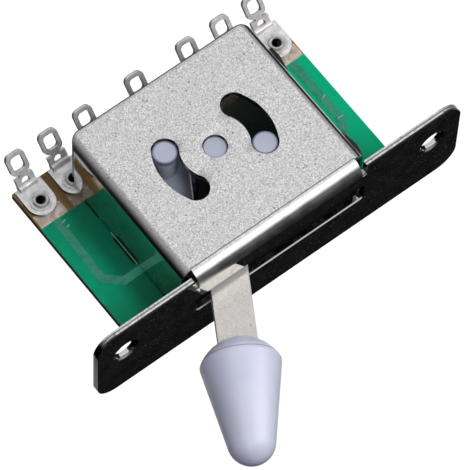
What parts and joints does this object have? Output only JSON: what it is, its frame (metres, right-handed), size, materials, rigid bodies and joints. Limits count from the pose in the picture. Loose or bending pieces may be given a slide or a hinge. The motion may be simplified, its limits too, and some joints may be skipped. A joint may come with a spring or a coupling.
{
  "type": "guitar pickup selector switch",
  "caption": "Open frame lever switch: folded metal bracket with slotted flange, circuit board with ring terminals, moulded rotor, flat lever and tapered white knob.",
  "frame": {"origin": "middle of the flange's outer face, halfway between the two mounting holes", "axes": "+Z out of the flange, the way the lever sticks out; +X along the flange; the slotted plate faces -Y and the circuit board is on the +Y side"},
  "size_m": [0.0488, 0.0127, 0.0453],
  "materials": {
    "nickel_sheet": "bright nickel plated sheet steel, satin and finely speckled on the plate, mirror like on the flange and the side walls",
    "board": "fibre board under green solder mask, bare tan strip along the terminals",
    "track": "plated contact tracks",
    "steel": "plain steel",
    "rotor_plastic": "moulded white plastic",
    "lever_steel": "satin nickel plated strip steel",
    "knob_plastic": "moulded white plastic with a cool tint",
    "bronze": "spring bronze",
    "spring_wire": "drawn spring wire",
    "lug_tin": "tin plated sheet brass",
    "eyelet_tin": "tin plated eyelet"
  },
  "bodies": {
    "frame": {"bracket": "nickel_sheet", "pcb": "board", "contact_tracks": "track", "detent_plate": "steel", "lug_1": "lug_tin", "lug_2": "lug_tin", "lug_3": "lug_tin", "lug_4": "lug_tin", "lug_5": "lug_tin", "lug_6": "lug_tin", "lug_7": "lug_tin", "eyelet_1": "eyelet_tin", "eyelet_2": "eyelet_tin", "eyelet_3": "eyelet_tin", "eyelet_4": "eyelet_tin", "eyelet_5": "eyelet_tin", "eyelet_6": "eyelet_tin", "eyelet_7": "eyelet_tin"},
    "lever_unit": {"rotor": "rotor_plastic", "lever": "lever_steel", "knob": "knob_plastic", "wiper_left": "bronze", "wiper_right": "bronze", "detent_spring": "spring_wire", "detent_ball": "steel"}
  },
  "joints": [
    {"name": "lever_pivot", "type": "hinge", "parent": "frame", "child": "lever_unit", "pos_m": [0, 0, -0.0117], "axis": [0, 1, 0], "range_deg": [-61, 0]}
  ]
}
